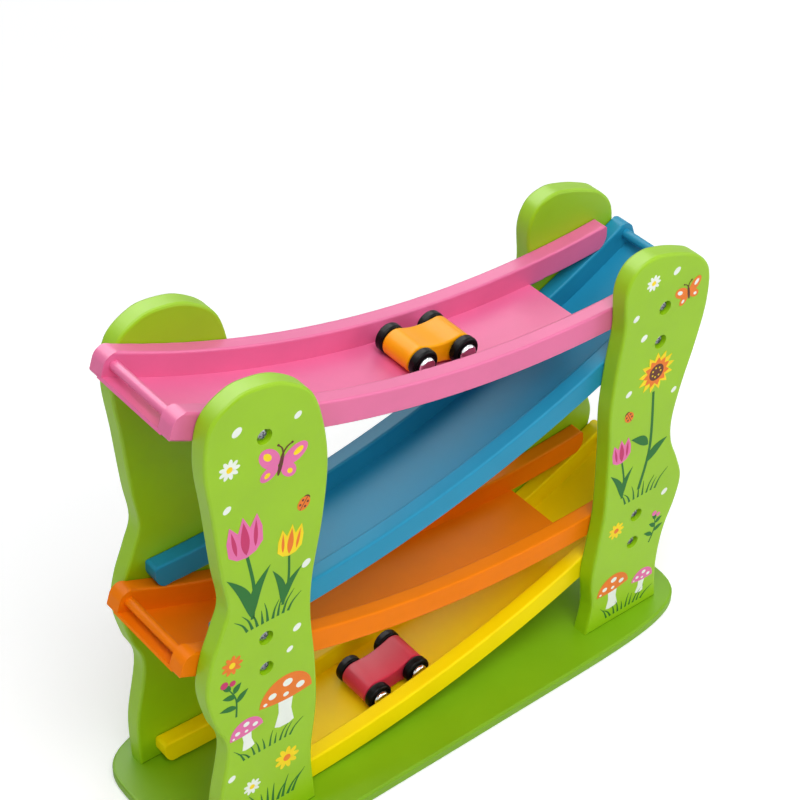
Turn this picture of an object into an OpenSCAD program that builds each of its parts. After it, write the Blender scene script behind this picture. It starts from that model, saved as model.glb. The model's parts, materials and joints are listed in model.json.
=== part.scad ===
// Wooden click clack race track: four curved tracks zigzag between two pairs of
// wavy side panels on a base board, and small cars roll down from track to track.
// X runs along the toy, Y from front to back, Z up; the origin is the middle of
// the base board's underside. Sizes are in millimetres.

/* [Base] */
// Length of the base board past the panels' middle lines
base_over = 51.5; // [48:0.5:74]
// Depth of the base board past the outer faces of the panels
base_margin = 18.5; // [15:0.5:37]
// Thickness of the base board
base_t = 8; // [6:0.5:14]
// Squareness of the base board's outline, as the exponent of its curve
base_square = 6; // [4:0.5:9]

/* [Side panels] */
// Distance between the middle lines of the left and the right panels
span = 292; // [280:1:296]
// Thickness of the panel boards
panel_t = 12; // [9:0.5:15]
// Width of the panels where their waves are widest
panel_w = 84; // [80:1:90]
// Height of the tall panels above the first screw of the top track
crown_tall = 33; // [26:1:45]
// Height of the short panels above the last screw of the top track
crown_short = 40; // [32:1:52]
// Rounding of the edges of the base and the panels
board_edge = 1.6; // [0.8:0.1:2.4]

/* [Tracks] */
// Radius of the curved underside of the tracks
track_r = 674; // [630:2:720]
// Height of the side rails
rail_h = 16.8; // [16:0.2:20]
// Thickness of the side rails
rail_t = 10.5; // [9:0.5:13]
// Clear width between the two rails of a track
channel_w = 51; // [49:0.5:56]
// Thickness of the track floors
floor_t = 2; // [1.6:0.1:3]
// Length of rail past the panels' middle line at the high end
start_over = 50; // [46:0.5:52]
// Length of rail past the panels' middle line at the low end
end_over = 22.5; // [18:0.5:24]
// Lean of the high ends' faces, out at their tops
end_lean = 9; // [0:1:12]
// Length without a floor at the low end, where a car drops through
drop_l = 63.5; // [58:0.5:70]
// Fall of the bottom track between its screws
fall_bottom = 55.4; // [50:0.2:62]
// Fall of the lower middle track between its screws
fall_lower = 44.2; // [40:0.2:52]
// Fall of the upper middle track between its screws
fall_upper = 70.5; // [66:0.5:78]
// Fall of the top track between its screws
fall_top = 47; // [42:0.2:52]
// Gap between a low end and the rails that it crosses over
pass_gap = 0.4; // [0.3:0.1:1.5]
// Rounding of the long edges of the rails
rail_edge = 1.5; // [0.5:0.1:2]
// Diameter of the stop dowel at each high end
dowel_d = 6; // [5:0.5:8]

/* [Cars] */
// Distance between the two axles of a car
wheelbase = 30.5; // [28:0.5:34]
// Diameter of the wheels
wheel_d = 18; // [16:0.5:19.5]
// Thickness of the wheels
wheel_t = 6.3; // [5:0.1:7]
// Width of the car body
car_w = 22.5; // [18:0.5:25]
// Height of the car body over its axles
car_h = 17; // [15:0.5:18]
// Height of the car body at its waist
waist_h = 12.6; // [11:0.2:14]
// Diameter of the axles
axle_d = 3; // [2.4:0.1:4]
// Diameter of the hub caps
cap_d = 11; // [9:0.5:12]
// Place of the first car on the top track, from its stop to the drop
car_1_share = 0.66; // [0:0.005:1]
// Place of the second car on the bottom track, from its stop to the drop
car_2_share = 0.745; // [0:0.005:1]
// How far the second car runs off the middle of its track, as a share of its free play
car_2_off_share = 0.72; // [0:0.02:0.9]

/* [Screws] */
// Diameter of the screw shanks
screw_d = 3.4; // [2.6:0.1:4]
// Diameter of the screw heads
head_d = 7.4; // [5.4:0.1:8.2]
// Height of the screw heads
head_h = 2; // [1.4:0.1:2.6]
// Depth of the screw heads below the wood
head_sink = 1.1; // [0.3:0.1:1.5]
// Length of the screws through the panels
screw_l = 18; // [16:0.5:19]
// Length of the screws through the base
base_screw_l = 26; // [20:1:40]

/* [Hidden] */
$fn = 96;

// Overrun of every cut, and the glue gap of pieces that are fixed in one another
cut = 1;
glue_gap = 0.05;
// Running gap of an axle in its bore, and of the wheels over the floor
run_gap = 0.08;
roll_gap = 0.25;
// Gap between the base and the lowest point of the bottom track
foot_gap = 0.6;

// Tracks, counted from the bottom up
falls = [fall_bottom, fall_lower, fall_upper, fall_top];
top_i = len(falls) - 1;
upper_i = top_i - 1;
lower_i = upper_i - 1;
bottom_i = 0;
// A track with side 1 starts over the left panels, one with side -1 over the right
sides = [for (i = [bottom_i:top_i]) pow(-1, i + 1)];
// Rounding of the rails' ends: under and over the low end, under and over the high end.
low_under_share = 0.62;
low_over_share = 0.16;
high_under_share = 0.12;
high_over_share = 0.44;
low_under = rail_h * low_under_share;
low_over = rail_h * low_over_share;
high_under = rail_h * high_under_share;
high_over = rail_h * high_over_share;
// Depth that the floor is let into each rail, and the dowel's seat in each rail
rebate_share = 0.3;
rebate = rail_t * rebate_share;
dowel_seat_share = 0.48;
dowel_seat = rail_t * dowel_seat_share;
// The dowel's place: from the high end along the track, and up from the underside
dowel_in_share = 0.85;
dowel_in = dowel_d * dowel_in_share;
dowel_up_share = 0.56;
dowel_up = rail_h * dowel_up_share;

// Radii about the centre of a track's arc, and angles for a length along a radius
mid_r = track_r - rail_h / 2;
top_r = track_r - rail_h;
floor_r = track_r - floor_t;
function arc_deg(len, r) = len / r * 180 / PI;

// Each track's arc centre, from the chord between its screws; a track stands on the
// one below it: its low end passes just over the rails of the next track's high end
function chord(i) = norm([span, falls[i]]);
function lift(i) = sqrt(pow(mid_r, 2) - pow(chord(i) / 2, 2));
function off_x(i) = sides[i] * falls[i] / chord(i) * lift(i);
function off_z(i) = span / chord(i) * lift(i);
// Angles from straight down, counted toward the low end
function low_screw_deg(i) = asin((span / 2 - sides[i] * off_x(i)) / mid_r);
function high_screw_deg(i) = asin((-span / 2 - sides[i] * off_x(i)) / mid_r);
function low_deg(i) = low_screw_deg(i) + arc_deg(end_over, mid_r);
function high_deg(i) = high_screw_deg(i) - arc_deg(start_over, mid_r);
function floor_deg(i) = low_deg(i) - arc_deg(drop_l, mid_r);
// Centre of the round under the low end, about the arc's centre
function round_deg(i) = low_deg(i) - asin(low_under / (track_r - low_under));
function round_x(i) = off_x(i) + sides[i] * (track_r - low_under) * sin(round_deg(i));
function round_z(i) = -(track_r - low_under) * cos(round_deg(i));
function pass_z(i) = sqrt(pow(top_r - low_under - pass_gap, 2)
                          - pow(round_x(i) - off_x(i - 1), 2));
function centre_z(i) = i < 1 ? base_t + foot_gap + track_r
                             : centre_z(i - 1) - pass_z(i) - round_z(i);
function high_z(i) = centre_z(i) - off_z(i) + falls[i] / 2;
function low_z(i) = centre_z(i) - off_z(i) - falls[i] / 2;

// Faces of the rails and the panels, out from the middle
rail_in = channel_w / 2;
rail_out = rail_in + rail_t;
panel_out = rail_out + panel_t;
tall_h = high_z(top_i) + crown_tall - base_t;
short_h = low_z(top_i) + crown_short - base_t;
// Size of the base board
base_l = span + 2 * base_over;
base_w = 2 * (panel_out + base_margin);

// Car: axle height, radius of the axles' path, and angles of the axles and of the travel
wheel_r = wheel_d / 2;
axle_path_r = floor_r - roll_gap - wheel_r;
axle_deg = asin(wheelbase / 2 / axle_path_r);
car_r = axle_path_r * cos(axle_deg);
car_side_gap = 0.45;
wheel_in = car_w / 2 + car_side_gap;
wheel_out = wheel_in + wheel_t;
cap_h_share = 0.18;
cap_h = cap_d * cap_h_share;
stop_gap = 0.3;
dowel_r = track_r - dowel_up;
function dowel_deg(i) = high_deg(i) + arc_deg(dowel_in, dowel_r);
stop_len = wheel_r + dowel_d / 2 + stop_gap;
function first_deg(i) = dowel_deg(i) + axle_deg
    + 2 * asin(sqrt((pow(stop_len, 2) - pow(dowel_r - axle_path_r, 2)) / dowel_r / axle_path_r) / 2);
function last_deg(i) = floor_deg(i) - axle_deg;
function car_deg(i, share) = first_deg(i) + share * (last_deg(i) - first_deg(i));

// Panel outlines: [out from the middle line as a share of half the width, height as a
// share of the panel's height], from the outer foot over the crown to the inner foot
tall_shares = [
    [0.789, 0], [0.808, 0.111], [0.649, 0.248], [0.834, 0.322], [0.958, 0.398], [0.884, 0.464],
    [0.709, 0.526], [0.591, 0.577], [0.681, 0.656], [0.787, 0.778], [0.883, 0.882],
    [0.788, 0.961], [0.415, 0.997], [0.039, 0.999], [-0.346, 0.984], [-0.727, 0.943],
    [-0.906, 0.876], [-0.986, 0.789], [-0.918, 0.677], [-0.761, 0.556], [-0.739, 0.469],
    [-0.817, 0.359], [-0.848, 0.25], [-0.768, 0.125], [-0.859, 0]];
short_shares = [
    [0.731, 0], [0.642, 0.106], [0.687, 0.204], [0.859, 0.287], [0.912, 0.351], [0.763, 0.413],
    [0.574, 0.475], [0.52, 0.54], [0.615, 0.626], [0.785, 0.726], [0.895, 0.821],
    [0.85, 0.907], [0.6, 0.955], [0.285, 0.98], [-0.05, 0.997], [-0.368, 1.005],
    [-0.676, 0.989], [-0.823, 0.939], [-0.77, 0.848], [-0.82, 0.764], [-0.853, 0.644],
    [-0.778, 0.529], [-0.712, 0.36], [-0.762, 0.259], [-0.81, 0.167], [-0.732, 0.077],
    [-0.798, 0]];
spline_steps = 6;
edge_steps = 2;
base_steps = 88;
// Steps of each rounded end of a car body, and of each hollow between the ends
lobe_steps = 22;
hollow_steps = 8;
car_edge = 1;

// A smooth curve through the points p
function curve_at(a, b, c, d, t) = (2 * b + (c - a) * t + (2 * a - 5 * b + 4 * c - d) * t * t
                                    + (3 * b - a - 3 * c + d) * t * t * t) / 2;
function smooth_line(p) = let (last = len(p) - 1) concat(
    [for (i = [0:last - 1], k = [0:spline_steps - 1])
        curve_at(p[max(i - 1, 0)], p[i], p[i + 1], p[min(i + 2, last)], k / spline_steps)],
    [p[last]]);
function flip(p) = [for (i = [len(p) - 1:-1:0]) p[i]];
// The outline p drawn in by d along the mitres of its corners
function unit(v) = v / norm(v);
function right_of(v) = [v[1], -v[0]];
function drawn_in(p, d) = let (n = len(p)) [for (i = [0:n - 1])
    let (a = right_of(unit(p[i] - p[(i + n - 1) % n])), b = right_of(unit(p[(i + 1) % n] - p[i])))
    p[i] - (a + b) / (1 + a * b) * d];

// A board of thickness t with the outline p, counted anticlockwise, and rounded edges;
// the point i of the outline faces the point n - 1 - i, as its flat faces are laid
// out like a ladder, rung by rung
module board(p, t, edge) {
    n = len(p);
    rings = concat(
        [for (k = [0:edge_steps]) let (a = 90 * k / edge_steps) [edge * (1 - sin(a)), edge * (1 - cos(a))]],
        [for (k = [edge_steps:-1:0]) let (a = 90 * k / edge_steps)
            [edge * (1 - sin(a)), t - edge * (1 - cos(a))]]);
    m = len(rings);
    rungs = ceil(n / 2);
    top = (m - 1) * n;
    polyhedron(
        points = [for (ring = rings) for (q = drawn_in(p, ring[0])) [q[0], q[1], ring[1]]],
        faces = concat(
            [for (k = [0:m - 2], i = [0:n - 1])
                [k * n + i, (k + 1) * n + i, (k + 1) * n + (i + 1) % n, k * n + (i + 1) % n]],
            [for (i = [0:rungs - 2]) [i, i + 1, n - 1 - i]],
            [for (i = [0:n - rungs - 2]) [i + 1, n - 2 - i, n - 1 - i]],
            [for (i = [0:rungs - 2]) [top + n - 1 - i, top + i + 1, top + i]],
            [for (i = [0:n - rungs - 2]) [top + n - 1 - i, top + n - 2 - i, top + i + 1]]));
}

// Base board: a long board with large rounded ends, screwed to the panels from below
function signed_pow(v, e) = sign(v) * pow(abs(v), e);
base_outline = [for (k = [0:base_steps - 1]) let (a = 360 * k / base_steps)
    [base_l / 2 * signed_pow(cos(a), 2 / base_square), base_w / 2 * signed_pow(sin(a), 2 / base_square)]];
foot_screw_share = 0.5;
foot_screw_x = panel_w / 2 * foot_screw_share;
module at_foot_screws() {
    for (x = [-1, 1], side = [-1, 1], y = [-1, 1])
        translate([x * span / 2 + side * foot_screw_x, y * (rail_out + panel_t / 2), 0]) children();
}
module base() {
    color([0.51, 0.70, 0.10]) difference() {
        board(base_outline, base_t, board_edge);
        at_foot_screws() {
            translate([0, 0, -cut]) cylinder(d = screw_d + 2 * glue_gap, h = base_t + 2 * cut);
            translate([0, 0, -cut]) cylinder(d = head_d + 2 * head_sink, h = head_h + head_sink + cut);
        }
    }
}

// Side panels: wavy boards that carry the tracks; x is -1 left and 1 right
function panel_outline(x) = let (
    shares = x < 0 ? tall_shares : short_shares, h = x < 0 ? tall_h : short_h,
    line = smooth_line([for (s = shares)
        [x * (span / 2 + s[0] * panel_w / 2), base_t + s[1] * h]]))
    x < 0 ? flip(line) : line;
function screw_z(i, x) = sides[i] == -x ? high_z(i) : low_z(i);
// Places of a panel's screws; the panel is at x and y, and +Z of its children points out
module at_panel_screws(x, y) {
    for (i = [bottom_i:top_i])
        translate([x * span / 2, y * panel_out, screw_z(i, x)]) rotate([y * -90, 0, 0]) children();
}
module panel(x, y) {
    color([0.58, 0.77, 0.14]) difference() {
        translate([0, y > 0 ? panel_out : -rail_out, 0])
            rotate([90, 0, 0]) board(panel_outline(x), panel_t, board_edge);
        at_panel_screws(x, y) {
            translate([0, 0, -panel_t - cut]) cylinder(d = screw_d + 2 * glue_gap, h = panel_t + 2 * cut);
            translate([0, 0, -head_h - head_sink])
                cylinder(d = head_d + 2 * head_sink, h = head_h + head_sink + cut);
        }
        at_foot_screws()
            cylinder(d = screw_d + 2 * glue_gap, h = head_sink + base_screw_l + cut);
    }
}

// Round-headed screws with a cross slot, head up at the origin, shank along -Z
dome_share = 0.22;
slot_w_share = 0.17;
slot_l_share = 0.6;
slot_h_share = 0.55;
tip_share = 0.5;
module screw(len) {
    tip = head_d * tip_share;
    dome = head_d * dome_share;
    dome_r = (pow(head_d / 2, 2) + pow(dome, 2)) / dome / 2;
    difference() {
        union() {
            intersection() {
                translate([0, 0, -head_h]) cylinder(d = head_d, h = head_h);
                translate([0, 0, -dome_r]) sphere(r = dome_r);
            }
            translate([0, 0, tip - len]) cylinder(d = screw_d, h = len - head_h - tip + cut);
            translate([0, 0, -len]) cylinder(d1 = screw_d * tip_share, d2 = screw_d, h = tip);
        }
        for (a = [0, 90]) rotate([0, 0, a])
            translate([-head_d * slot_l_share / 2, -head_d * slot_w_share / 2, -head_h * slot_h_share])
                cube([head_d * slot_l_share, head_d * slot_w_share, head_h * slot_h_share + cut]);
    }
}
module panel_screws(x, y) {
    color([0.75, 0.76, 0.78]) at_panel_screws(x, y) translate([0, 0, -head_sink]) screw(screw_l);
}
module base_screws() {
    color([0.75, 0.76, 0.78]) at_foot_screws()
        translate([0, 0, head_sink]) rotate([180, 0, 0]) screw(base_screw_l);
}

// Frame of track i: the arc's centre is the origin, +X toward the low end, +Y up
// and +Z toward the front
module track_frame(i) {
    if (sides[i] > 0)
        translate([off_x(i), 0, centre_z(i)]) rotate([90, 0, 0]) children();
    else
        translate([off_x(i), 0, centre_z(i)]) mirror([1, 0, 0]) rotate([90, 0, 0]) children();
}
// A bar along the arc, from radius r1 to r2, from angle a1 to a2 and from z1 to z2
module arc_bar(r1, r2, a1, a2, z1, z2, edge = 0) {
    rotate([0, 0, a1 - 90]) rotate_extrude(angle = a2 - a1, $fn = 720) {
        if (edge > 0) {
            translate([r1 + edge, z1]) square([r2 - r1 - 2 * edge, z2 - z1]);
            translate([r1, z1 + edge]) square([r2 - r1, z2 - z1 - 2 * edge]);
            for (r = [r1 + edge, r2 - edge], z = [z1 + edge, z2 - edge])
                translate([r, z]) circle(r = edge, $fn = 32);
        }
        else translate([r1, z1]) square([r2 - r1, z2 - z1]);
    }
}
// What rounds a corner of a rail's end at angle a: way is 1 at the low end and -1 at
// the high end, out is 1 at the underside and -1 at the top, and the end's face leans
// out at its top by the angle lean
module end_round(a, way, out, r, lean = 0) {
    centre_r = out > 0 ? track_r - r : top_r + r;
    face = a - way * lean;
    c = face + way * asin((track_r * sin(lean) - r) / centre_r);
    centre = centre_r * [sin(c), -cos(c)];
    along = way * [cos(face), sin(face)] * (r * corner_share + cut);
    across = out * [sin(c), -cos(c)] * (r * corner_share + cut);
    difference() {
        polygon([centre, centre + along, centre + along + across, centre + across]);
        translate(centre) circle(r = r);
    }
}
corner_share = 1.3;
module rail(i, z1, z2, in) {
    inner = in > 0 ? z2 : z1;
    face = high_deg(i) + end_lean;
    tip_deg = face - asin(track_r * sin(end_lean) / top_r);
    difference() {
        arc_bar(top_r, track_r, tip_deg, low_deg(i), z1, z2, rail_edge);
        translate([0, 0, z1 - cut]) linear_extrude(z2 - z1 + 2 * cut) {
            // What lies past the leaning face of the high end
            rotate(face) translate([-track_r * sin(end_lean) - rail_h, -track_r * cos(end_lean) - rail_h])
                square([rail_h, 3 * rail_h]);
            end_round(low_deg(i), 1, 1, low_under);
            end_round(low_deg(i), 1, -1, low_over);
            end_round(high_deg(i), -1, 1, high_under, end_lean);
            end_round(high_deg(i), -1, -1, high_over, end_lean);
        }
        // Seat of the floor
        arc_bar(floor_r - glue_gap, track_r + cut, high_deg(i) - arc_deg(cut, track_r),
                floor_deg(i) + arc_deg(glue_gap, track_r),
                in > 0 ? inner - rebate : inner - cut, in > 0 ? inner + cut : inner + rebate);
        // Seat of the dowel
        rotate([0, 0, dowel_deg(i)]) translate([0, -dowel_r, inner - (dowel_seat + glue_gap)])
            cylinder(d = dowel_d + 2 * glue_gap, h = 2 * (dowel_seat + glue_gap));
        // Pilot holes of the screws
        for (a = [low_screw_deg(i), high_screw_deg(i)]) rotate([0, 0, a])
            translate([0, -mid_r, in > 0 ? z1 - cut : z2 - pilot_l])
                cylinder(d = screw_d + 2 * glue_gap, h = pilot_l + cut);
    }
}
pilot_l = screw_l + head_sink - panel_t + glue_gap;
module front_rail(i) {
    track_frame(i) rail(i, rail_in, rail_out, -1);
}
module back_rail(i) {
    track_frame(i) rail(i, -rail_out, -rail_in, 1);
}
module track_floor(i) {
    track_frame(i) arc_bar(floor_r, track_r, high_deg(i), floor_deg(i),
                           glue_gap - rail_in - rebate, rail_in + rebate - glue_gap);
}
module track_dowel(i) {
    track_frame(i) rotate([0, 0, dowel_deg(i)]) translate([0, -dowel_r, -rail_in - dowel_seat])
        cylinder(d = dowel_d, h = channel_w + 2 * dowel_seat);
}

// Cars: a body with two round ends and a waist, and two axles with pressed-on wheels
car_tracks = [top_i, bottom_i];
car_shares = [car_1_share, car_2_share];
side_play = rail_in - wheel_out - cap_h;
car_off_shares = [0, car_2_off_share];
lobe_r = car_h / 2;
hollow_r = (pow(wheelbase / 2, 2) + pow(waist_h / 2, 2) - pow(lobe_r, 2)) / (car_h - waist_h);
// Angle of the hollow's end, where it runs into the round end
hollow_deg = asin(wheelbase / 2 / (hollow_r + lobe_r));
car_line = concat(
    [for (k = [0:lobe_steps]) let (a = (2 * k / lobe_steps - 1) * (90 + hollow_deg))
        [wheelbase / 2 + lobe_r * cos(a), lobe_r * sin(a)]],
    [for (k = [1:hollow_steps - 1]) let (a = (1 - 2 * k / hollow_steps) * hollow_deg)
        [hollow_r * sin(a), waist_h / 2 + hollow_r * (1 - cos(a))]],
    [for (k = [0:lobe_steps]) let (a = 180 + (2 * k / lobe_steps - 1) * (90 + hollow_deg))
        [lobe_r * cos(a) - wheelbase / 2, lobe_r * sin(a)]],
    [for (k = [1:hollow_steps - 1]) let (a = (2 * k / hollow_steps - 1) * hollow_deg)
        [hollow_r * sin(a), hollow_r * (cos(a) - 1) - waist_h / 2]]);
// The same points, from the nose round
car_outline = [for (k = [0:len(car_line) - 1]) car_line[(k + lobe_steps / 2) % len(car_line)]];
// Frame of car c: +X toward its nose, +Y up, +Z toward the front of the toy
module car_frame(c) {
    i = car_tracks[c];
    track_frame(i) rotate([0, 0, car_deg(i, car_shares[c])])
        translate([0, -car_r, car_off_shares[c] * side_play]) children();
}
module car_body(c) {
    car_frame(c) difference() {
        translate([0, 0, -car_w / 2]) board(car_outline, car_w, car_edge);
        for (x = [-1, 1]) translate([x * wheelbase / 2, 0, -car_w / 2 - cut])
            cylinder(d = axle_d + 2 * run_gap, h = car_w + 2 * cut);
    }
}
// Share of the cap's height that an axle reaches into it
axle_seat_share = 0.5;
axle_half = wheel_out + cap_h * axle_seat_share;
module axle(c, x) {
    color([0.75, 0.76, 0.78]) car_frame(c) translate([x * wheelbase / 2, 0, -axle_half])
        cylinder(d = axle_d, h = 2 * axle_half);
}
// Wheel: a rounded tread, and a raised hub disc with a groove round it on the outer face
tread_edge_share = 0.26;
tread_edge = wheel_t * tread_edge_share;
tread_t_share = 0.93;
tread_t = wheel_t * tread_t_share;
hub_share = 0.7;
hub_r = wheel_r * hub_share;
groove_w_share = 0.07;
groove_h_share = 0.16;
module wheel_profile() {
    difference() {
        union() {
            translate([0, tread_edge]) square([wheel_r, tread_t - 2 * tread_edge]);
            square([wheel_r - tread_edge, tread_t]);
            square([hub_r, wheel_t]);
            for (z = [tread_edge, tread_t - tread_edge])
                translate([wheel_r - tread_edge, z]) circle(r = tread_edge, $fn = 32);
        }
        translate([-cut, -cut]) square([axle_d / 2 + glue_gap + cut, wheel_t + 2 * cut]);
        translate([hub_r, wheel_t * (1 - groove_h_share)])
            square([wheel_r * groove_w_share, wheel_t]);
    }
}
module wheel(c, x, z) {
    color([0.13, 0.13, 0.14]) car_frame(c) translate([x * wheelbase / 2, 0, z * wheel_in])
        rotate([z > 0 ? 0 : 180, 0, 0]) rotate_extrude() wheel_profile();
}
// Hub cap: a flat domed button over the end of the axle
brim_share = 0.5;
module caps(c, x) {
    dome = cap_h * (1 - brim_share);
    dome_r = (pow(cap_d / 2, 2) + pow(dome, 2)) / dome / 2;
    color([0.85, 0.86, 0.88]) car_frame(c) for (z = [-1, 1])
        translate([x * wheelbase / 2, 0, z * wheel_out]) rotate([z > 0 ? 0 : 180, 0, 0]) difference() {
            intersection() {
                cylinder(d = cap_d, h = cap_h);
                translate([0, 0, cap_h - dome_r]) sphere(r = dome_r);
            }
            translate([0, 0, -cut])
                cylinder(d = axle_d + 2 * glue_gap, h = cap_h * axle_seat_share + glue_gap + cut);
        }
}

pink = [0.93, 0.52, 0.70];
blue = [0.26, 0.60, 0.75];
orange = [0.92, 0.49, 0.14];
yellow = [0.96, 0.84, 0.02];
car_orange = [0.97, 0.52, 0.10];
car_red = [0.85, 0.25, 0.36];
module panel_left_front() { panel(-1, -1); }
module panel_left_back() { panel(-1, 1); }
module panel_right_front() { panel(1, -1); }
module panel_right_back() { panel(1, 1); }
module screws_left_front() { panel_screws(-1, -1); }
module screws_left_back() { panel_screws(-1, 1); }
module screws_right_front() { panel_screws(1, -1); }
module screws_right_back() { panel_screws(1, 1); }
module top_track_front_rail() { color(pink) front_rail(top_i); }
module top_track_back_rail() { color(pink) back_rail(top_i); }
module top_track_floor() { color(pink) track_floor(top_i); }
module top_track_dowel() { color(pink) track_dowel(top_i); }
module upper_track_front_rail() { color(blue) front_rail(upper_i); }
module upper_track_back_rail() { color(blue) back_rail(upper_i); }
module upper_track_floor() { color(blue) track_floor(upper_i); }
module upper_track_dowel() { color(blue) track_dowel(upper_i); }
module lower_track_front_rail() { color(orange) front_rail(lower_i); }
module lower_track_back_rail() { color(orange) back_rail(lower_i); }
module lower_track_floor() { color(orange) track_floor(lower_i); }
module lower_track_dowel() { color(orange) track_dowel(lower_i); }
module bottom_track_front_rail() { color(yellow) front_rail(bottom_i); }
module bottom_track_back_rail() { color(yellow) back_rail(bottom_i); }
module bottom_track_floor() { color(yellow) track_floor(bottom_i); }
module bottom_track_dowel() { color(yellow) track_dowel(bottom_i); }
module car_1_body() { color(car_orange) car_body(0); }
module car_1_front_axle() { axle(0, 1); }
module car_1_front_left_wheel() { wheel(0, 1, -1); }
module car_1_front_right_wheel() { wheel(0, 1, 1); }
module car_1_front_caps() { caps(0, 1); }
module car_1_rear_axle() { axle(0, -1); }
module car_1_rear_left_wheel() { wheel(0, -1, -1); }
module car_1_rear_right_wheel() { wheel(0, -1, 1); }
module car_1_rear_caps() { caps(0, -1); }
module car_2_body() { color(car_red) car_body(1); }
module car_2_front_axle() { axle(1, 1); }
module car_2_front_left_wheel() { wheel(1, 1, 1); }
module car_2_front_right_wheel() { wheel(1, 1, -1); }
module car_2_front_caps() { caps(1, 1); }
module car_2_rear_axle() { axle(1, -1); }
module car_2_rear_left_wheel() { wheel(1, -1, 1); }
module car_2_rear_right_wheel() { wheel(1, -1, -1); }
module car_2_rear_caps() { caps(1, -1); }

base();
panel_left_front();
panel_left_back();
panel_right_front();
panel_right_back();
top_track_front_rail();
top_track_back_rail();
top_track_floor();
top_track_dowel();
upper_track_front_rail();
upper_track_back_rail();
upper_track_floor();
upper_track_dowel();
lower_track_front_rail();
lower_track_back_rail();
lower_track_floor();
lower_track_dowel();
bottom_track_front_rail();
bottom_track_back_rail();
bottom_track_floor();
bottom_track_dowel();
screws_left_front();
screws_left_back();
screws_right_front();
screws_right_back();
base_screws();
car_1_body();
car_1_front_axle();
car_1_front_left_wheel();
car_1_front_right_wheel();
car_1_front_caps();
car_1_rear_axle();
car_1_rear_left_wheel();
car_1_rear_right_wheel();
car_1_rear_caps();
car_2_body();
car_2_front_axle();
car_2_front_left_wheel();
car_2_front_right_wheel();
car_2_front_caps();
car_2_rear_axle();
car_2_rear_left_wheel();
car_2_rear_right_wheel();
car_2_rear_caps();
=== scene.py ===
# Wooden click clack race track toy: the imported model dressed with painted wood,
# printed panel art, black wheels with bright caps, and zinc plated screws.
import json
import math

import bmesh
import bpy
from mathutils import Matrix, Vector


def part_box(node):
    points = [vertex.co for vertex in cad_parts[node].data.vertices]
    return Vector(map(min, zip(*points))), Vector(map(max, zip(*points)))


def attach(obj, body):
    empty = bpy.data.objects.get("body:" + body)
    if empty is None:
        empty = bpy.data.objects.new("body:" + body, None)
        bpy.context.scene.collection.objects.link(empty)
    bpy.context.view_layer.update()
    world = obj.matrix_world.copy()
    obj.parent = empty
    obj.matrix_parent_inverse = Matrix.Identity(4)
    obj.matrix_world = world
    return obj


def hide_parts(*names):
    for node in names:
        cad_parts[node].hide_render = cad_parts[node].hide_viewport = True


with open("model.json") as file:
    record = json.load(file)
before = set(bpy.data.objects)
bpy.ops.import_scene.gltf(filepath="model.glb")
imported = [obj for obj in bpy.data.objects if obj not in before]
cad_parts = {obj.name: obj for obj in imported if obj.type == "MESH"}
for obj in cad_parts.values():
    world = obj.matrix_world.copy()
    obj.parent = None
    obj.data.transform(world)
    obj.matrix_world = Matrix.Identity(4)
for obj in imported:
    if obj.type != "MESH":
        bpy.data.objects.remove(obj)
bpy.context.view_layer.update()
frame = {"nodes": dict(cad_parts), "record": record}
nodes = frame["nodes"]
MM = 0.001


# Materials
NOISE_SPAN = (0.3, 0.7)    # nearly all of a noise lies between these values
CLOUDING = 0.04            # how far a paint drifts to either side of its colour


def rgb(r, g, b):
    """An sRGB colour, each share 0 to 255, as the linear values that a shader takes."""
    return tuple(v / 12.92 if v <= 0.04045 else ((v + 0.055) / 1.055) ** 2.4
                 for v in (r / 255, g / 255, b / 255))


def scaled(colour, share):
    return tuple(min(1.0, v * share) for v in colour)


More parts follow.
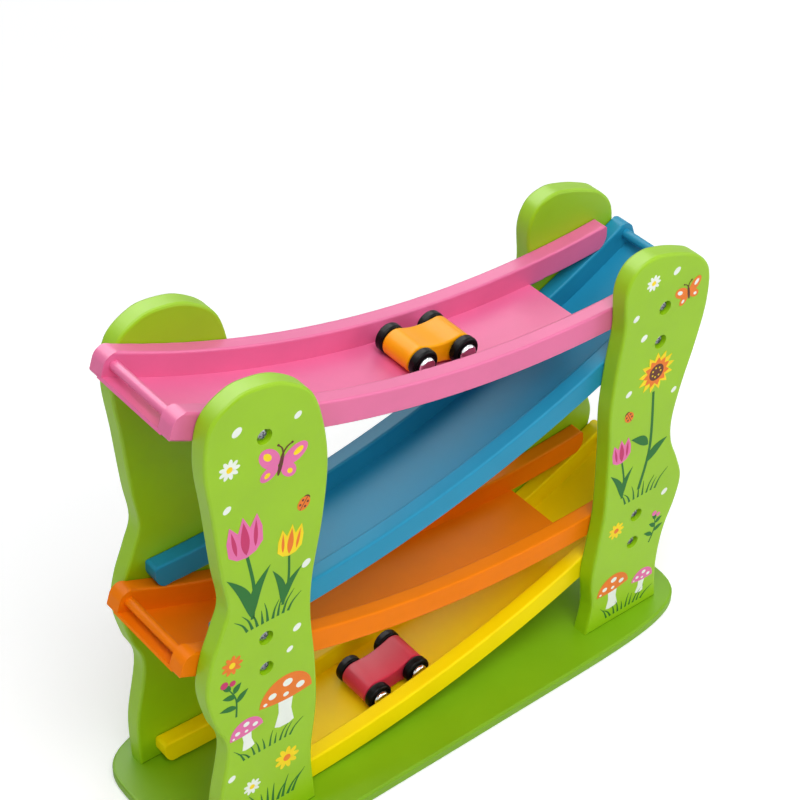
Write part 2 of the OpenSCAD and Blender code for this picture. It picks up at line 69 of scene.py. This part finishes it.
class Net:
    """One material, whose nodes are built round a Principled shader."""

    def __init__(self, name):
        self.mat = bpy.data.materials.new(name)
        self.mat.use_nodes = True
        self.tree = self.mat.node_tree
        self.tree.nodes.clear()
        self.bsdf = self.node("BsdfPrincipled")
        self.link(self.bsdf, "BSDF", self.node("OutputMaterial"), "Surface")

    def link(self, source, output, target, socket):
        self.tree.links.new(source.outputs[output], target.inputs[socket])

    def set(self, **values):
        """Fix the shader's own sockets; an underscore stands for a space in their names."""
        for socket, value in values.items():
            self.bsdf.inputs[socket.replace("_", " ")].default_value = value

    def node(self, kind, **values):
        made = self.tree.nodes.new("ShaderNode" + kind)
        for socket, value in values.items():
            made.inputs[socket.replace("_", " ")].default_value = value
        return made

    def coords(self, stretch=(1, 1, 1)):
        """The object's own coordinates; a small stretch draws a noise out on that axis."""
        mapping = self.node("Mapping", Scale=stretch)
        self.link(self.node("TexCoord"), "Object", mapping, "Vector")
        return mapping

    def noise(self, coords, scale, detail=2.0, rough=0.5):
        noise = self.node("TexNoise", Scale=scale, Detail=detail, Roughness=rough)
        self.link(coords, "Vector", noise, "Vector")
        return noise

    def span(self, source, output, given, wanted):
        """Carry a value over from one span of numbers to another."""
        carried = self.node("MapRange", From_Min=given[0], From_Max=given[1],
                            To_Min=wanted[0], To_Max=wanted[1])
        self.link(source, output, carried, "Value")
        return carried

    def colours(self, noise, dark, light):
        """Let the base colour drift between two tones."""
        ramp = self.node("ValToRGB")
        for element, place, tone in zip(ramp.color_ramp.elements, NOISE_SPAN, (dark, light)):
            element.position = place
            element.color = (*tone, 1)
        self.link(noise, "Fac", ramp, "Fac")
        self.link(ramp, "Color", self.bsdf, "Base Color")

    def roughness(self, noise, low, high, given=(0.2, 0.8)):
        """Let the roughness drift between two values."""
        self.link(self.span(noise, "Fac", given, (low, high)), "Result", self.bsdf, "Roughness")

    def bump(self, *layers):
        """Fine relief from layers of (noise, strength, depth)."""
        below = None
        for noise, strength, depth in layers:
            layer = self.node("Bump", Strength=strength, Distance=depth)
            self.link(noise, "Fac", layer, "Height")
            if below:
                self.link(below, "Normal", layer, "Normal")
            below = layer
        self.link(below, "Normal", self.bsdf, "Normal")


def paint(name, colour, rough, stretch, grain=0.3, shine=0.3):
    """Sprayed satin paint on smooth wood: faint clouding, fine orange peel, and the
    wood's grain just showing in the surface."""
    n = Net(name)
    place = n.coords()
    cloud = n.noise(place, scale=26.0, detail=4.0, rough=0.6)
    fibres = n.noise(n.coords(stretch), scale=520.0, detail=4.0, rough=0.65)
    peel = n.noise(place, scale=900.0)
    n.colours(cloud, scaled(colour, 1 - CLOUDING), scaled(colour, 1 + CLOUDING))
    n.roughness(cloud, rough - 0.04, rough + 0.06)
    n.bump((fibres, grain, 0.1 * MM), (peel, 0.3, 0.07 * MM))
    n.set(Specular_IOR_Level=shine)
    return n.mat


def ink(name, colour):
    """Screen printed ink: matt, with the screen's fine tooth and slight clouding."""
    n = Net(name)
    place = n.coords()
    cloud = n.noise(place, scale=60.0, detail=3.0, rough=0.6)
    tooth = n.noise(place, scale=2400.0)
    n.colours(cloud, scaled(colour, 0.95), scaled(colour, 1.04))
    n.roughness(cloud, 0.46, 0.58)
    n.bump((tooth, 0.3, 0.04 * MM))
    n.set(Specular_IOR_Level=0.3)
    return n.mat


def black_wheel():
    """Black paint on turned wood, a little smoother than the boards' paint."""
    n = Net("black_paint")
    place = n.coords()
    cloud = n.noise(place, scale=160.0, detail=3.0, rough=0.6)
    peel = n.noise(place, scale=1400.0)
    n.colours(cloud, rgb(10, 10, 11), rgb(17, 16, 17))
    n.roughness(cloud, 0.24, 0.34)
    n.bump((peel, 0.25, 0.06 * MM))
    n.set(Specular_IOR_Level=0.12)
    return n.mat


def metal(name, tones, rough, stretch, strength):
    """Plated steel with faint scratches, which also vary its roughness."""
    n = Net(name)
    cloud = n.noise(n.coords(), scale=300.0, detail=3.0, rough=0.6)
    scratches = n.noise(n.coords(stretch), scale=2600.0)
    n.colours(cloud, *tones)
    n.roughness(scratches, *rough, given=NOISE_SPAN)
    n.bump((scratches, strength, 0.04 * MM))
    n.set(Metallic=1.0)
    return n.mat


# Which way the grain runs: along the tracks, up the panels, along the base and the cars
TRACK, PANEL, BASE, CAR = (0.14, 1, 1), (1, 1, 0.16), (0.16, 1, 1), (0.2, 1, 1)
ZINC = (rgb(138, 141, 146), rgb(176, 179, 184))
CHROME = (rgb(228, 229, 232), rgb(242, 243, 245))
FINISH = {
    "green_wood": paint("green_paint", rgb(150, 198, 0), 0.42, PANEL, shine=0.5),
    "green_base": paint("green_base_paint", rgb(120, 170, 10), 0.42, BASE),
    "pink_wood": paint("pink_paint", rgb(228, 106, 156), 0.38, TRACK, shine=0.6),
    "blue_wood": paint("blue_paint", rgb(32, 142, 180), 0.4, TRACK, shine=0.2),
    "orange_wood": paint("orange_paint", rgb(244, 126, 4), 0.4, TRACK, shine=0.08),
    "yellow_wood": paint("yellow_paint", rgb(252, 224, 0), 0.4, TRACK, shine=0.1),
    "car_orange": paint("car_orange_paint", rgb(250, 166, 2), 0.32, CAR, grain=0.2, shine=0.18),
    "car_red": paint("car_red_paint", rgb(220, 56, 82), 0.32, CAR, grain=0.2, shine=0.3),
    "wheel_black": black_wheel(),
    "steel": metal("zinc_steel", ZINC, (0.2, 0.34), (1, 0.2, 1), 0.3),
    "cap_chrome": metal("chrome", CHROME, (0.08, 0.15), (1, 1, 1), 0.05),
}
INK = {
    "leaf": ink("leaf_ink", rgb(36, 112, 44)),
    "pink": ink("pink_ink", rgb(228, 112, 168)),
    "berry": ink("berry_ink", rgb(196, 52, 104)),
    "yellow": ink("yellow_ink", rgb(246, 216, 20)),
    "orange": ink("orange_ink", rgb(234, 122, 36)),
    "white": ink("white_ink", rgb(236, 242, 232)),
    "brown": ink("brown_ink", rgb(98, 50, 38)),
}

slot_of = {row["node"]: row["material_slot"] for row in frame["record"]["subparts"]}
for name, ob in nodes.items():
    finish = FINISH[slot_of[name]]
    if not ob.material_slots:
        ob.data.materials.append(finish)
    for slot in ob.material_slots:
        slot.material = finish


# The curved edges of the boards and the car bodies are made of narrow flat faces
SOFT_BELOW = math.radians(13)    # faces that meet at less than this are shaded as one curve
WELD_WITHIN = 1e-6               # corners this near each other are one corner, in metres


def soft_shading():
    """A modifier's node group that shades a curve's faces as one, and keeps sharper
    corners crisp."""
    group = bpy.data.node_groups.new("soft_shading", "GeometryNodeTree")
    for way in ("INPUT", "OUTPUT"):
        group.interface.new_socket("Geometry", in_out=way, socket_type="NodeSocketGeometry")
    start = group.nodes.new("NodeGroupInput")
    end = group.nodes.new("NodeGroupOutput")
    angle = group.nodes.new("GeometryNodeInputMeshEdgeAngle")
    sharp = group.nodes.new("FunctionNodeCompare")
    sharp.operation = "GREATER_THAN"
    sharp.inputs["B"].default_value = SOFT_BELOW
    normal = group.nodes.new("GeometryNodeSetMeshNormal")
    normal.mode = "SHARPNESS"
    normal.inputs["Remove Custom"].default_value = True
    group.links.new(angle.outputs["Unsigned Angle"], sharp.inputs["A"])
    group.links.new(sharp.outputs["Result"], normal.inputs["Edge Sharpness"])
    group.links.new(start.outputs["Geometry"], normal.inputs["Mesh"])
    group.links.new(normal.outputs["Mesh"], end.inputs["Geometry"])
    return group


soft = soft_shading()
for name, ob in nodes.items():
    if name.startswith("panel") or name == "base" or name.endswith("body"):
        ob.modifiers.new("weld", "WELD").merge_threshold = WELD_WITHIN
        ob.modifiers.new("soft_shading", "NODES").node_group = soft


# Shapes for the print, as closed rings of points (x, y) in mm
def oval(cx, cy, rx, ry, turn=0.0, n=32):
    c, s = math.cos(math.radians(turn)), math.sin(math.radians(turn))
    points = []
    for k in range(n):
        a = 2 * math.pi * k / n
        x, y = rx * math.cos(a), ry * math.sin(a)
        points.append((cx + x * c - y * s, cy + x * s + y * c))
    return points


def leaf(x0, y0, x1, y1, belly, lean=0.0, n=10):
    """A pointed leaf from (x0, y0) to its tip; belly is its half width, lean its bend."""
    dx, dy = x1 - x0, y1 - y0
    length = math.hypot(dx, dy)
    ux, uy = dx / length, dy / length
    points = []
    for side in (1, -1):
        for k in range(n):
            t = k / n if side > 0 else 1 - k / n
            w = side * belly * math.sin(math.pi * t ** 0.8) + lean * math.sin(math.pi * t)
            points.append((x0 + ux * length * t - uy * w, y0 + uy * length * t + ux * w))
    return points


def curve_point(a, b, c, d, t):
    """The point at share t of the way from b to c, on the smooth curve through all four."""
    return tuple(0.5 * (2 * b[j] + (c[j] - a[j]) * t
                        + (2 * a[j] - 5 * b[j] + 4 * c[j] - d[j]) * t * t
                        + (3 * b[j] - a[j] - 3 * c[j] + d[j]) * t ** 3) for j in (0, 1))


def stroke(points, w0, w1, n=14):
    """A stroke along the smooth curve through the points, w0 wide and w1 at its end."""
    last = len(points) - 1
    path = []
    for k in range(n + 1):
        along = k / n * last
        i = min(int(along), last - 1)
        before, after = points[max(i - 1, 0)], points[min(i + 2, last)]
        path.append(curve_point(before, points[i], points[i + 1], after, along - i))
    left, right = [], []
    for k, (x, y) in enumerate(path):
        x0, y0 = path[max(k - 1, 0)]
        x1, y1 = path[min(k + 1, n)]
        length = math.hypot(x1 - x0, y1 - y0)
        w = (w0 + (w1 - w0) * k / n) / 2
        nx, ny = -(y1 - y0) / length * w, (x1 - x0) / length * w
        left.append((x + nx, y + ny))
        right.append((x - nx, y - ny))
    return right + left[::-1]


# Motifs: each is a list of (layer, ink, ring), drawn up from (0, 0) or about it. The
# numbers in them are shares of the motif's own height h, width w or radius r.
def daisy(r, petal, eye, n=9):
    art = []
    for k in range(n):
        a = 2 * math.pi * k / n
        x, y = 0.6 * r * math.cos(a), 0.6 * r * math.sin(a)
        art.append((1, petal, oval(x, y, r * 0.42, r * 0.2, 360 * k / n, 20)))
    return art + [(2, eye, oval(0, 0, r * 0.3, r * 0.3))]


def tulip(h, bloom, inner):
    w = h * 0.15
    cup = [(-w, 0.72 * h), (-w * 1.04, 0.86 * h), (-w * 0.8, h), (-w * 0.35, 0.9 * h),
           (0, 1.03 * h), (w * 0.35, 0.9 * h), (w * 0.8, h), (w * 1.04, 0.86 * h),
           (w, 0.72 * h), (w * 0.55, 0.655 * h), (0, 0.635 * h), (-w * 0.55, 0.655 * h)]
    stem = stroke([(0, 0), (w * 0.25, 0.3 * h), (0, 0.68 * h)], 0.035 * h, 0.026 * h)
    return [(0, "leaf", stem),
            (1, "leaf", leaf(0, 0, -w * 1.25, 0.52 * h, 0.045 * h, -0.05 * h)),
            (1, "leaf", leaf(0, 0.02 * h, w * 1.3, 0.44 * h, 0.045 * h, 0.05 * h)),
            (2, bloom, cup[::-1]),
            (3, inner, leaf(0, 0.66 * h, 0, 0.98 * h, 0.038 * h)),
            (3, inner, leaf(-w * 0.55, 0.7 * h, -w * 0.72, 0.95 * h, 0.018 * h)),
            (3, inner, leaf(w * 0.55, 0.7 * h, w * 0.72, 0.95 * h, 0.018 * h))]


def sunflower(h, r):
    """A tall flower: h is the height of its middle, r its bloom's radius."""
    stem = stroke([(-0.1 * r, 0), (0.25 * r, 0.35 * h), (0, h - r)], 0.17 * r, 0.13 * r)
    art = [(0, "leaf", stem),
           (1, "leaf", leaf(0.15 * r, 0.22 * h, 1.25 * r, 0.36 * h, 0.24 * r, 0.12 * r)),
           (1, "leaf", leaf(0.12 * r, 0.38 * h, -0.95 * r, 0.5 * h, 0.22 * r, -0.12 * r))]
    for layer, colour, count, reach, start in ((2, "yellow", 13, 1.0, 9), (3, "orange", 11, 0.74, 21)):
        for k in range(count):
            a = math.radians(start + 360 * k / count)
            x, y = math.cos(a), math.sin(a)
            near, far = 0.2 * r, reach * r
            art.append((layer, colour, leaf(near * x, h + near * y, far * x, h + far * y, 0.16 * r)))
    art.append((4, "brown", oval(0, h, 0.4 * r, 0.4 * r)))
    for k in range(7):
        a = 2 * math.pi * k / 7
        x, y = 0.23 * r * math.cos(a), h + 0.23 * r * math.sin(a)
        art.append((5, "yellow", oval(x, y, 0.045 * r, 0.045 * r, 0, 10)))
    return art


def toadstool(h, cap, stem):
    w = h * 0.46
    dome = [(w * math.cos(math.pi * k / 18), 0.56 * h + 0.44 * h * math.sin(math.pi * k / 18))
            for k in range(19)]
    hem = [(w * (k / 6 - 1), 0.56 * h - 0.05 * h * math.sin(math.pi * k / 12))
           for k in range(1, 12)]
    foot = [(-0.13 * h, 0.55 * h), (-0.11 * h, 0.3 * h), (-0.17 * h, 0.04 * h), (-0.08 * h, 0),
            (0.08 * h, 0), (0.17 * h, 0.04 * h), (0.11 * h, 0.3 * h), (0.13 * h, 0.55 * h)]
    art = [(1, stem, foot), (2, cap, dome + hem)]
    for x, y, size in ((-0.24, 0.7, 0.07), (0.02, 0.84, 0.085), (0.25, 0.68, 0.075),
                       (0.0, 0.62, 0.05), (-0.36, 0.6, 0.035)):
        art.append((3, "white", oval(x * h, y * h, size * h, size * 0.8 * h, 0, 18)))
    return art


def butterfly(w, wing, spot):
    art = []
    for side in (-1, 1):
        feeler = [(0, 0.2 * w), (side * 0.05 * w, 0.3 * w), (side * 0.13 * w, 0.36 * w)]
        art += [(1, wing, oval(side * 0.25 * w, 0.14 * w, 0.25 * w, 0.16 * w, side * 38)),
                (1, wing, oval(side * 0.19 * w, -0.14 * w, 0.18 * w, 0.12 * w, side * -40)),
                (2, spot, oval(side * 0.3 * w, 0.18 * w, 0.1 * w, 0.06 * w, side * 38, 20)),
                (2, spot, oval(side * 0.22 * w, -0.17 * w, 0.06 * w, 0.045 * w, side * -40, 18)),
                (3, "brown", stroke(feeler, 0.028 * w, 0.018 * w, 8)),
                (4, "brown", oval(side * 0.135 * w, 0.365 * w, 0.022 * w, 0.022 * w, 0, 12))]
    art.append((4, "brown", oval(0, 0.0, 0.038 * w, 0.22 * w, 0, 20)))
    return art


def ladybird(r):
    middle_line = stroke([(0, 0.98 * r), (0, 0), (0, -0.98 * r)], 0.09 * r, 0.09 * r, 4)
    art = [(1, "brown", oval(0, 0.78 * r, 0.5 * r, 0.42 * r, 0, 20)),
           (2, "orange", oval(0, 0, 0.86 * r, r)),
           (3, "brown", middle_line)]
    for x, y in ((-0.42, 0.38), (0.42, 0.38), (-0.42, -0.3), (0.42, -0.3)):
        art.append((3, "brown", oval(x * r, y * r, 0.17 * r, 0.17 * r, 0, 14)))
    return art


def grass(w, h, n, seed):
    """A tuft w wide of n blades up to h high; the seed only varies their bends."""
    art = []
    for k in range(n):
        x = w * (k / (n - 1) - 0.5)
        tall = h * (0.62 + 0.38 * abs(math.sin(seed + 1.9 * k)))
        lean = (x / w) * h * 0.7 + 0.14 * h * math.sin(seed + 2.7 * k)
        blade = [(x * 0.62, 0), (x * 0.7 + lean * 0.3, tall * 0.55), (x * 0.8 + lean, tall)]
        art.append((k % 2, "leaf", stroke(blade, h * 0.13, h * 0.012, 8)))
    return art


def sprig(h, berry):
    stem = stroke([(0, 0), (0.1 * h, 0.5 * h), (-0.04 * h, h)], 0.045 * h, 0.02 * h)
    art = [(0, "leaf", stem)]
    for k, (y, side) in enumerate(((0.24, -1), (0.36, 1), (0.52, -1), (0.64, 1), (0.8, -1))):
        x = 0.1 * h * math.sin(math.pi * y)
        tip_x, tip_y = x + side * (0.36 - 0.05 * k) * h, y * h + 0.17 * h
        art.append((1, "leaf", leaf(x, y * h, tip_x, tip_y, 0.07 * h, side * 0.02 * h)))
    art.append((2, berry, oval(-0.04 * h, 1.02 * h, 0.085 * h, 0.085 * h, 0, 20)))
    art.append((2, berry, oval(0.13 * h, 0.93 * h, 0.07 * h, 0.07 * h, 0, 18)))
    return art


def dot(r):
    return [(1, "white", oval(0, 0, r, r * 0.72, 35, 24))]


# Where the motifs go, in mm across from a panel's middle and up from the table, with
# each one's turn in degrees
TALL_PRINT = (
    (dot(3.4), -17, 318, 0), (dot(2.6), 21, 311, 0),
    (daisy(6.5, "white", "yellow"), -22, 296, 0), (butterfly(34, "pink", "yellow"), 10, 284, -14),
    (dot(2.8), -24, 270, 0), (tulip(74, "pink", "berry"), -9, 184, 4),
    (tulip(54, "yellow", "orange"), 11, 183, -7), (grass(44, 15, 9, 0.4), 1, 176.5, 0),
    (ladybird(4.6), 25, 249, -35), (dot(3.2), 27, 205, 0),
    (daisy(7, "orange", "yellow"), -23, 157, 0), (dot(3.0), 21, 160, 0), (dot(2.4), 16, 146, 0),
    (toadstool(40, "orange", "white"), 12, 87, -3), (toadstool(25, "pink", "white"), -13, 84, 5),
    (sprig(30, "berry"), -21, 115, 12), (grass(52, 12, 10, 1.3), 0, 76, 0),
    (dot(2.8), -25, 66, 0), (daisy(8.5, "yellow", "orange"), 14, 58, 0),
    (daisy(6, "white", "yellow"), -11, 50, 0), (grass(58, 17, 11, 2.2), 0, 26, 0),
)
SHORT_PRINT = (
    (daisy(5.5, "white", "yellow"), -13, 283, 0), (dot(3.0), 6, 284, 0), (dot(2.6), -24, 262, 0),
    (butterfly(23, "orange", "white"), 19, 263, 12), (dot(2.8), -15, 244, 0),
    (sunflower(93, 15), 0, 119, 0), (tulip(50, "pink", "berry"), -16, 119, 8),
    (dot(2.6), -22, 205, 0), (dot(2.4), 18.5, 190, 0), (ladybird(4.2), -19, 186, 30),
    (grass(42, 13, 8, 0.9), 1, 112, 0), (dot(2.8), 24, 104, 0),
    (daisy(6.5, "yellow", "orange"), -17, 92, 0), (sprig(24, "pink"), 16, 64, -6),
    (toadstool(30, "orange", "white"), -12, 22, 4), (toadstool(21, "pink", "white"), 13, 21, -6),
    (grass(50, 12, 10, 1.7), 0, 14, 0),
)
INK_UNDER = 0.03   # how far the ink's slab starts below the wood's face, in mm
INK_OVER = 0.08    # height of the first layer over the face
INK_STEP = 0.04    # height of each further layer
INK_LAP = 0.008    # neighbours of one ink differ in height by this, where they overlap
INK_LAPS = 4       # how many such heights there are


def placed(rows):
    """The shapes of a print's motifs, turned and moved to their places."""
    shapes = []
    for motif, across, up, turn in rows:
        c, s = math.cos(math.radians(turn)), math.sin(math.radians(turn))
        for layer, colour, ring in motif:
            moved = [(across + x * c - y * s, up + x * s + y * c) for x, y in ring]
            shapes.append((layer, colour, moved))
    return shapes


def mesh_object(name, bm, material):
    """Put a finished bmesh into the scene as an object."""
    mesh = bpy.data.meshes.new(name)
    bm.to_mesh(mesh)
    bm.free()
    mesh.materials.append(material)
    ob = bpy.data.objects.new(name, mesh)
    bpy.context.scene.collection.objects.link(ob)
    return ob


def print_panel(node, middle, shapes):
    """Lay the shapes on the outer face of a panel, as one thin slab for each shape, and
    one object for each ink."""
    low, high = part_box(node)
    out = -1 if low[1] < 0 else 1
    face = (low if out < 0 else high)[1]
    for colour in INK:
        rings = [(layer, ring) for layer, ink_name, ring in shapes if ink_name == colour]
        if not rings:
            continue
        bm = bmesh.new()
        for k, (layer, ring) in enumerate(rings):
            n = len(ring)
            area = sum(a[0] * b[1] - b[0] * a[1] for a, b in zip(ring, ring[1:] + ring[:1]))
            if (area > 0) != (out < 0):
                ring = ring[::-1]
            height = INK_OVER + INK_STEP * layer + INK_LAP * (k % INK_LAPS)
            foot, top = [[bm.verts.new((middle + x * MM, face + out * t * MM, z * MM)) for x, z in ring]
                         for t in (-INK_UNDER, height)]
            bm.faces.new(top)
            bm.faces.new(foot[::-1])
            for i in range(n):
                j = (i + 1) % n
                bm.faces.new((foot[i], foot[j], top[j], top[i]))
        ob = mesh_object(node.replace("panel", "print") + "_" + colour, bm, INK[colour])
        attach(ob, "stand")


column = abs(sum(corner[0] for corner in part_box("screws_left_front")) / 2)
for side, middle, rows in (("left", -column, TALL_PRINT), ("right", column, SHORT_PRINT)):
    for depth in ("front", "back"):
        print_panel("panel_%s_%s" % (side, depth), middle, placed(rows))


# Wheel caps
CAP_SHARE = 0.18   # a cap's height as a share of its diameter
CAP_RINGS = 14
CAP_SIDES = 64
CAP_EDGE = 0.04    # height of the edge, as a share of the cap's height
CAP_CURL = 12      # the higher, the flatter the middle and the tighter the edge's curl
CAP_SPREAD = 0.8   # below 1 the rings crowd towards the edge


def domed_caps(node):
    """A pair of polished buttons on one axle, each one a smooth dome whose edge curls
    down to the wheel."""
    low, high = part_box(node)
    radius = (high[0] - low[0]) / 2
    height = 2 * radius * CAP_SHARE
    middle = (low + high) / 2
    turns = [2 * math.pi * i / CAP_SIDES for i in range(CAP_SIDES)]
    bm = bmesh.new()
    for out, tip in ((-1, low[1]), (1, high[1])):
        foot = tip - out * height
        rings = [(radius, foot)]
        for k in range(CAP_RINGS):
            r = radius * math.sin(math.pi / 2 * (1 - k / CAP_RINGS) ** CAP_SPREAD)
            rise = height * (CAP_EDGE + (1 - CAP_EDGE) * (1 - (r / radius) ** CAP_CURL))
            rings.append((r, foot + out * rise))
        loops = [[bm.verts.new((middle[0] + r * math.cos(a), y, middle[2] + r * math.sin(a)))
                  for a in turns] for r, y in rings]
        top = bm.verts.new((middle[0], tip, middle[2]))
        bm.faces.new(loops[0])
        for i in range(CAP_SIDES):
            j = (i + 1) % CAP_SIDES
            for a, b in zip(loops, loops[1:]):
                bm.faces.new((a[i], a[j], b[j], b[i]))
            bm.faces.new((loops[-1][i], loops[-1][j], top))
    bmesh.ops.recalc_face_normals(bm, faces=bm.faces)
    for face in bm.faces:
        face.smooth = len(face.verts) < CAP_SIDES
    ob = mesh_object(node.replace("caps", "domes"), bm, FINISH["cap_chrome"])
    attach(ob, node.replace("caps", "wheels"))
    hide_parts(node)


for node in sorted(nodes):
    if node.endswith("caps"):
        domed_caps(node)


# Floor
WHITE = (1, 1, 1, 1)
FLOOR_HALF = 8.0             # half the floor's side, in metres
FLOOR_DROP = 0.2 * MM        # how far it lies below the base
FLOOR_TONES = ((0.84, 0.85, 0.86), (0.86, 0.865, 0.87))
LIFT_REACH = (0.6, 3.0)      # metres from the toy between which the floor brightens
LIFT = (0.32, 0.66)          # how much, as the camera sees it


def floor_material():
    """Plain white. The camera sees it brighten further off, where the lamps don't reach."""
    n = Net("studio_white")
    n.colours(n.noise(n.coords(), scale=3.0), *FLOOR_TONES)
    n.set(Roughness=0.9, Specular_IOR_Level=0.0, Emission_Color=WHITE)
    distance = n.node("VectorMath")
    distance.operation = "LENGTH"
    n.link(n.node("TexCoord"), "Object", distance, "Vector")
    seen = n.node("Math")
    seen.operation = "MULTIPLY"
    n.link(n.span(distance, "Value", LIFT_REACH, LIFT), "Result", seen, 0)
    n.link(n.node("LightPath"), "Is Camera Ray", seen, 1)
    n.link(seen, "Value", n.bsdf, "Emission Strength")
    return n.mat


bm = bmesh.new()
bm.faces.new([bm.verts.new((x * FLOOR_HALF, y * FLOOR_HALF, -FLOOR_DROP))
              for x, y in ((-1, -1), (1, -1), (1, 1), (-1, 1))])
floor = mesh_object("floor", bm, floor_material())


# Light
SKY_LIGHT = 0.4    # strength of the white surround as light on the object
SKY_SEEN = 1.0     # its strength where the camera, a gloss or glass shows it
AIM = Vector((0, 0, 0.15))


def white_surround():
    world = bpy.data.worlds.new("studio")
    bpy.context.scene.world = world
    world.use_nodes = True
    tree = world.node_tree
    ray = tree.nodes.new("ShaderNodeLightPath")
    seen = ray.outputs["Is Camera Ray"]
    for kind in ("Is Glossy Ray", "Is Transmission Ray"):
        either = tree.nodes.new("ShaderNodeMath")
        either.operation = "MAXIMUM"
        tree.links.new(seen, either.inputs[0])
        tree.links.new(ray.outputs[kind], either.inputs[1])
        seen = either.outputs[0]
    strength = tree.nodes.new("ShaderNodeMapRange")
    strength.inputs["To Min"].default_value = SKY_LIGHT
    strength.inputs["To Max"].default_value = SKY_SEEN
    tree.links.new(seen, strength.inputs["Value"])
    background = tree.nodes["Background"]
    background.inputs["Color"].default_value = WHITE
    tree.links.new(strength.outputs["Result"], background.inputs["Strength"])


def softbox(name, place, size, watts):
    """A soft rectangular lamp that points at the toy's middle."""
    lamp = bpy.data.lights.new(name, "AREA")
    lamp.shape = "RECTANGLE"
    lamp.size, lamp.size_y = size
    lamp.energy = watts
    ob = bpy.data.objects.new(name, lamp)
    bpy.context.scene.collection.objects.link(ob)
    ob.location = place
    ob.rotation_euler = (AIM - Vector(place)).to_track_quat("-Z", "Y").to_euler()
    return ob


white_surround()
softbox("key", (-0.45, -0.95, 2.3), (1.6, 1.6), 39.0)
softbox("fill", (1.8, -1.4, 1.0), (1.6, 1.4), 14.0)
# A bright panel overhead and behind, which only shows as sheen on what looks up
softbox("sheen", (0.15, 1.3, 2.0), (2.8, 1.9), 72.0).visible_diffuse = False


# Camera, placed as the photo's camera was solved
CAMERA_PLACE = (-0.620409, -0.698903, 0.975705)
CAMERA_SIDE = (0.773414, -0.6329707, 0.0343343)
CAMERA_UP = (0.3748326, 0.5003365, 0.7804895)
CAMERA_BACK = (-0.5112057, -0.5907719, 0.6242253)
LENS = 93.4969           # focal length for a sensor 36 mm wide
SENSOR_WIDTH = 36.0

camera_data = bpy.data.cameras.new("camera")
camera_data.lens = LENS
camera_data.sensor_width = SENSOR_WIDTH
camera_data.clip_start = 0.01
camera = bpy.data.objects.new("camera", camera_data)
bpy.context.scene.collection.objects.link(camera)
turn = Matrix((CAMERA_SIDE, CAMERA_UP, CAMERA_BACK)).transposed().to_4x4()
camera.matrix_world = Matrix.Translation(CAMERA_PLACE) @ turn
bpy.context.scene.camera = camera

bpy.context.scene.view_settings.view_transform = "Standard"
